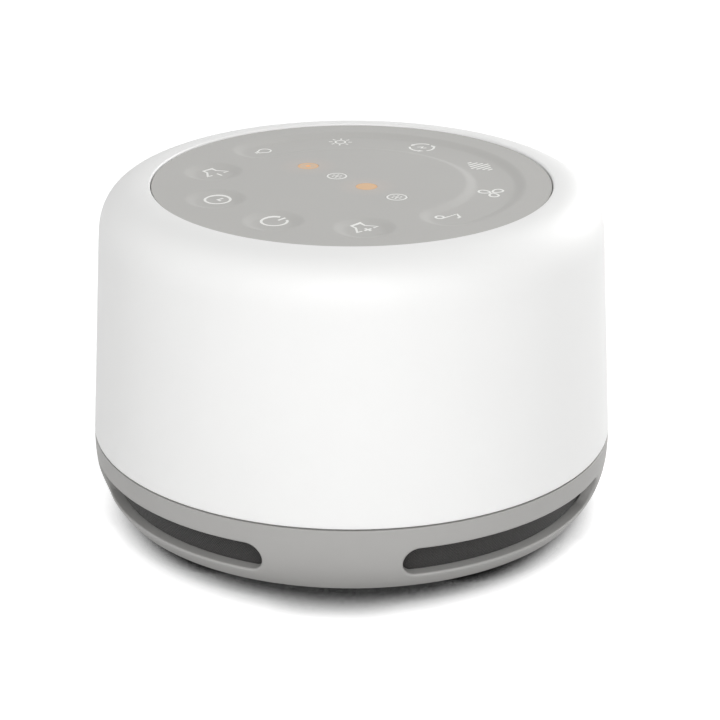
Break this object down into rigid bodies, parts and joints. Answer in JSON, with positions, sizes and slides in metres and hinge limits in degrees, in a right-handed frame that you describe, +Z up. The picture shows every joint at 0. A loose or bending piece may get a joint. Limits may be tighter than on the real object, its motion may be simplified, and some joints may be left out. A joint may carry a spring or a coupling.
{
  "type": "white noise sound machine",
  "caption": "Round tabletop sound machine with a white light-diffusing shell, a grey slotted base and a soft push-key panel on top.",
  "frame": {"origin": "centre of the footprint, on the surface that the rubber feet stand on", "axes": "+Z up; +Y to the rear, where the power inlet is; the icons read upright from -Y"},
  "size_m": [0.1, 0.1, 0.0637],
  "materials": {
    "white_diffuser": "satin moulded polycarbonate, lets light through",
    "grey_silicone": "soft matte silicone",
    "white_abs": "moulded",
    "circuit_board": "solder mask",
    "dark_plastic": "moulded",
    "clear_guide": "frosted acrylic",
    "led": "moulded lens",
    "chip_black": "epoxy",
    "capacitor_sleeve": "shrink sleeve",
    "connector_nylon": "moulded",
    "ribbon_film": "film",
    "wire_insulation": "extruded",
    "white_board": "white solder mask",
    "zinc_screw": "zinc plated",
    "foam": "closed-cell foam",
    "black_steel": "powder coat",
    "zinc_steel": "zinc plated",
    "ferrite": "fired ferrite",
    "cone_paper": "pressed pulp",
    "coil_copper": "enamelled copper wire",
    "surround_rubber": "moulded",
    "spider_cloth": "resin-treated cloth",
    "grey_abs": "fine moulded texture",
    "acoustic_cloth": "woven",
    "foot_rubber": "moulded",
    "socket_steel": "nickel plated"
  },
  "bodies": {
    "root": {"diffuser_shell": "white_diffuser", "keypad_skin": "grey_silicone", "key_plate": "white_abs", "key_board": "circuit_board", "switch_bodies": "dark_plastic", "indicator_lenses": "clear_guide", "indicator_leds": "led", "core_housing": "white_abs", "main_board": "circuit_board", "control_chip": "chip_black", "amplifier_chip": "chip_black", "capacitors": "capacitor_sleeve", "connectors": "connector_nylon", "key_ribbon": "ribbon_film", "speaker_leads": "wire_insulation", "power_leads": "wire_insulation", "deck": "dark_plastic", "light_board": "white_board", "night_lights": "led", "board_screws": "zinc_screw", "case_screws": "zinc_screw", "speaker_gasket": "foam", "speaker_frame": "black_steel", "speaker_top_plate": "zinc_steel", "speaker_magnet": "ferrite", "speaker_yoke": "zinc_steel", "speaker_surround": "surround_rubber", "speaker_spider": "spider_cloth", "base_shell": "grey_abs", "slot_liner": "acoustic_cloth", "bottom_cover": "grey_abs", "cover_screws": "zinc_screw", "rubber_feet": "foot_rubber", "power_socket": "socket_steel", "socket_tongue": "chip_black", "inlet_board": "circuit_board"},
    "timer_key": {"key_timer": "grey_silicone", "plunger_timer": "dark_plastic"},
    "power_key": {"key_power": "grey_silicone", "plunger_power": "dark_plastic"},
    "volume_up_key": {"key_volume_up": "grey_silicone", "plunger_volume_up": "dark_plastic"},
    "music_key": {"key_music": "grey_silicone", "plunger_music": "dark_plastic"},
    "fan_key": {"key_fan": "grey_silicone", "plunger_fan": "dark_plastic"},
    "waves_key": {"key_waves": "grey_silicone", "plunger_waves": "dark_plastic"},
    "cycle_key": {"key_cycle": "grey_silicone", "plunger_cycle": "dark_plastic"},
    "brightness_key": {"key_brightness": "grey_silicone", "plunger_brightness": "dark_plastic"},
    "lamp_key": {"key_lamp": "grey_silicone", "plunger_lamp": "dark_plastic"},
    "volume_down_key": {"key_volume_down": "grey_silicone", "plunger_volume_down": "dark_plastic"},
    "diaphragm": {"speaker_cone": "cone_paper", "dust_cap": "cone_paper", "voice_coil": "coil_copper"}
  },
  "joints": [
    {"name": "press_timer", "type": "slide", "parent": "root", "child": "timer_key", "axis": [0, 0, -1], "range_m": [0, 0.0004], "stiffness_N_per_m": 4000, "springref_m": -0.00005},
    {"name": "press_power", "type": "slide", "parent": "root", "child": "power_key", "axis": [0, 0, -1], "range_m": [0, 0.0004], "stiffness_N_per_m": 4000, "springref_m": -0.00005},
    {"name": "press_volume_up", "type": "slide", "parent": "root", "child": "volume_up_key", "axis": [0, 0, -1], "range_m": [0, 0.0004], "stiffness_N_per_m": 4000, "springref_m": -0.00005},
    {"name": "press_music", "type": "slide", "parent": "root", "child": "music_key", "axis": [0, 0, -1], "range_m": [0, 0.0004], "stiffness_N_per_m": 4000, "springref_m": -0.00005},
    {"name": "press_fan", "type": "slide", "parent": "root", "child": "fan_key", "axis": [0, 0, -1], "range_m": [0, 0.0004], "stiffness_N_per_m": 4000, "springref_m": -0.00005},
    {"name": "press_waves", "type": "slide", "parent": "root", "child": "waves_key", "axis": [0, 0, -1], "range_m": [0, 0.0004], "stiffness_N_per_m": 4000, "springref_m": -0.00005},
    {"name": "press_cycle", "type": "slide", "parent": "root", "child": "cycle_key", "axis": [0, 0, -1], "range_m": [0, 0.0004], "stiffness_N_per_m": 4000, "springref_m": -0.00005},
    {"name": "press_brightness", "type": "slide", "parent": "root", "child": "brightness_key", "axis": [0, 0, -1], "range_m": [0, 0.0004], "stiffness_N_per_m": 4000, "springref_m": -0.00005},
    {"name": "press_lamp", "type": "slide", "parent": "root", "child": "lamp_key", "axis": [0, 0, -1], "range_m": [0, 0.0004], "stiffness_N_per_m": 4000, "springref_m": -0.00005},
    {"name": "press_volume_down", "type": "slide", "parent": "root", "child": "volume_down_key", "axis": [0, 0, -1], "range_m": [0, 0.0004], "stiffness_N_per_m": 4000, "springref_m": -0.00005},
    {"name": "cone_travel", "type": "slide", "parent": "root", "child": "diaphragm", "axis": [0, 0, -1], "range_m": [-0.001, 0.001], "stiffness_N_per_m": 1500, "deforming": ["speaker_surround", "speaker_spider"]}
  ]
}
